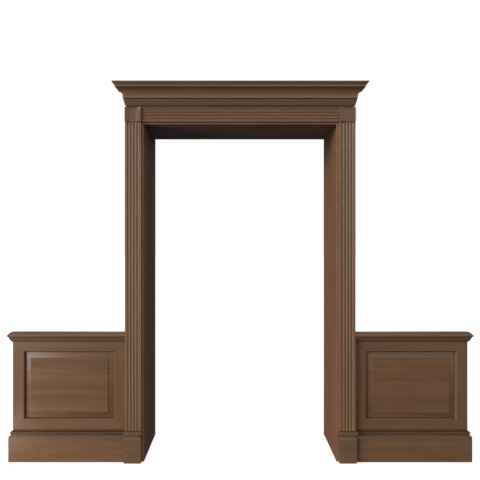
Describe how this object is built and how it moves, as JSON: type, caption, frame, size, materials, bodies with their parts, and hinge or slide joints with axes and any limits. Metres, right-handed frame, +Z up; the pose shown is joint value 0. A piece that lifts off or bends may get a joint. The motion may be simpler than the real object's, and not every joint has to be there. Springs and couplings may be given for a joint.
{
  "type": "wooden doorway",
  "caption": "Deep lined wooden doorway with fluted pilasters, a moulded cornice and a panelled dado on each side.",
  "frame": {"origin": "on the floor at the middle of the bounding box", "axes": "+X across the opening, +Y from the moulded front to the back, +Z up"},
  "size_m": [2.898, 0.642, 2.3458],
  "materials": {
    "pilaster_wood": "satin lacquer over walnut-brown stain, upright grain",
    "casing_wood": "satin lacquer over walnut-brown stain, level grain",
    "cornice_wood": "satin lacquer over walnut-brown stain, level grain",
    "lining_wood": "satin lacquer over walnut-brown stain, upright grain",
    "frame_wood": "satin lacquer over walnut-brown stain",
    "panel_wood": "satin lacquer over walnut-brown stain, level figured grain",
    "moulding_wood": "satin lacquer over walnut-brown stain, level grain"
  },
  "bodies": {
    "root": {"plinth_block_front_left": "pilaster_wood", "pilaster_front_left": "pilaster_wood", "corner_block_front_left": "casing_wood", "jamb_lining_left": "lining_wood", "plinth_block_back_left": "pilaster_wood", "pilaster_back_left": "pilaster_wood", "corner_block_back_left": "casing_wood", "skirting_board_left": "moulding_wood", "skirting_cap_left": "moulding_wood", "panel_top_rail_left": "frame_wood", "panel_bottom_rail_left": "frame_wood", "panel_inner_stile_left": "frame_wood", "panel_outer_stile_left": "frame_wood", "raised_panel_left": "panel_wood", "chair_rail_left": "moulding_wood", "plinth_block_front_right": "pilaster_wood", "pilaster_front_right": "pilaster_wood", "corner_block_front_right": "casing_wood", "jamb_lining_right": "lining_wood", "plinth_block_back_right": "pilaster_wood", "pilaster_back_right": "pilaster_wood", "corner_block_back_right": "casing_wood", "skirting_board_right": "moulding_wood", "skirting_cap_right": "moulding_wood", "panel_top_rail_right": "frame_wood", "panel_bottom_rail_right": "frame_wood", "panel_inner_stile_right": "frame_wood", "panel_outer_stile_right": "frame_wood", "raised_panel_right": "panel_wood", "chair_rail_right": "moulding_wood", "head_casing_front": "casing_wood", "head_casing_back": "casing_wood", "head_lining": "lining_wood", "cornice_bed_front": "cornice_wood", "cornice_crown_front": "cornice_wood", "cornice_back": "cornice_wood"}
  },
  "joints": []
}
